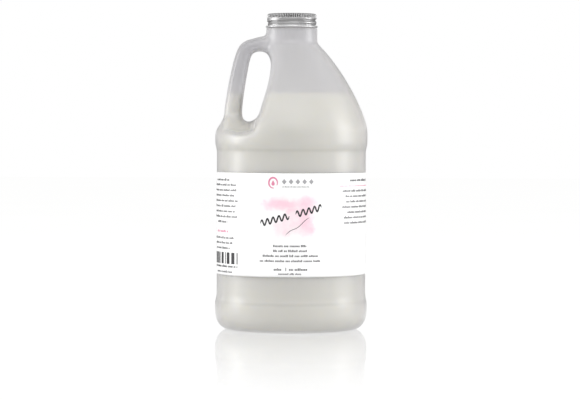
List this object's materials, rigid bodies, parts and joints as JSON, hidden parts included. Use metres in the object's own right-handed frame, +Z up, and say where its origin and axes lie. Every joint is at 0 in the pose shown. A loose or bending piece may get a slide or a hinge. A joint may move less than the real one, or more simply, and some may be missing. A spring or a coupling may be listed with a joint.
{
  "type": "shampoo bottle",
  "caption": "Round translucent jug with a hollow handle moulded into its shoulder, a wraparound label, creamy liquid inside and a knurled metal screw cap with a two-ply liner.",
  "frame": {"origin": "centre of the base, on the floor, under the axis of the round body", "axes": "+Z up along the axis of the body, neck and cap; -X towards the handle; -Y towards the middle of the label"},
  "size_m": [0.121, 0.121, 0.2507],
  "materials": {
    "jug": "natural translucent polyethylene with a soft satin skin",
    "liquid": "opaque creamy off-white liquid",
    "label": null,
    "cap_metal": "bright satin tinplate",
    "liner_board": "uncoated pulp board",
    "liner_facing": "smooth white film"
  },
  "bodies": {
    "jug": {"jug": "jug", "label": "label", "liquid_contents": "liquid"},
    "liner": {"liner_board": "liner_board", "liner_facing": "liner_facing"},
    "cap": {"cap_shell": "cap_metal"}
  },
  "joints": [
    {"name": "cap_rise", "type": "slide", "parent": "jug", "child": "liner", "axis": [0, 0, 1], "range_m": [0, 0.0117]},
    {"name": "cap_turn", "type": "hinge", "parent": "liner", "child": "cap", "pos_m": [0, 0, 0.2494], "axis": [0, 0, 1], "range_deg": [0, 990]}
  ],
  "couplings": [
    {"joint": "cap_rise", "follows": "cap_turn", "m_per_rad": 0.0006737}
  ]
}
